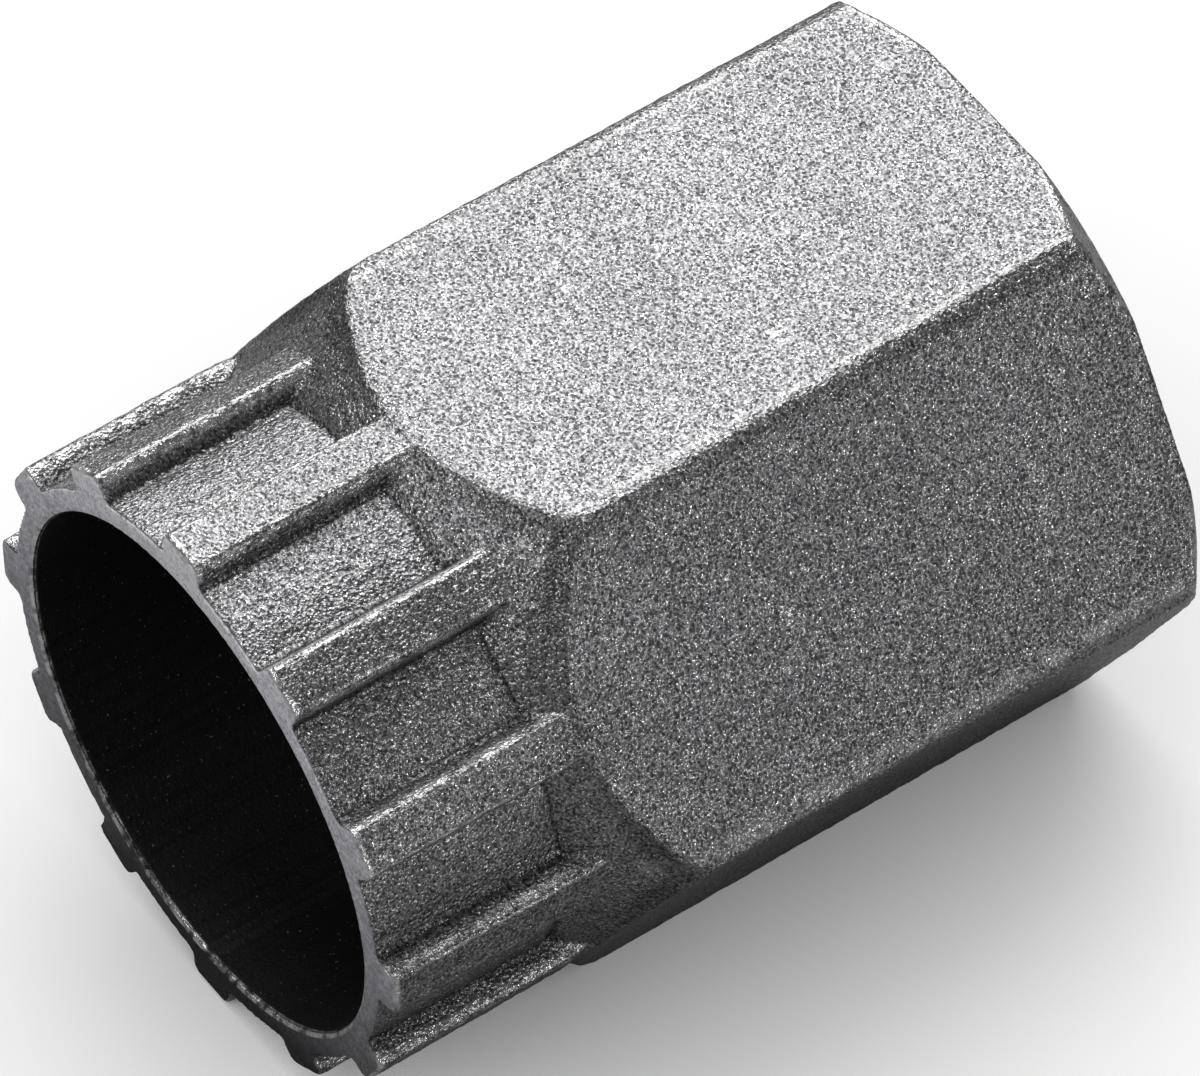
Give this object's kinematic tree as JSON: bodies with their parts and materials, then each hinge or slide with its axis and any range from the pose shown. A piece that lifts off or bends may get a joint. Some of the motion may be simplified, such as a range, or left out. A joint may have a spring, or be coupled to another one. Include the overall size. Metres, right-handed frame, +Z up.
{
  "type": "cassette lockring tool",
  "caption": "Hollow hexagonal wrench socket that tapers to a thin-walled nose with straight outer splines, cast in grey steel.",
  "frame": {"origin": "on the floor under the middle of the tool's length, with the tool lying on one wrench flat", "axes": "the tool's axis is level and runs along Y, with the splined nose towards -Y and the wrench end towards +Y; +X is across two corners of the hexagon; +Z is up, out of the top wrench flat"},
  "size_m": [0.0274, 0.0332, 0.0238],
  "materials": {
    "cast_steel": "grainy as-cast grey steel, bare, with a ground ring at the nose face"
  },
  "bodies": {
    "root": {"lockring_tool": "cast_steel"}
  },
  "joints": []
}
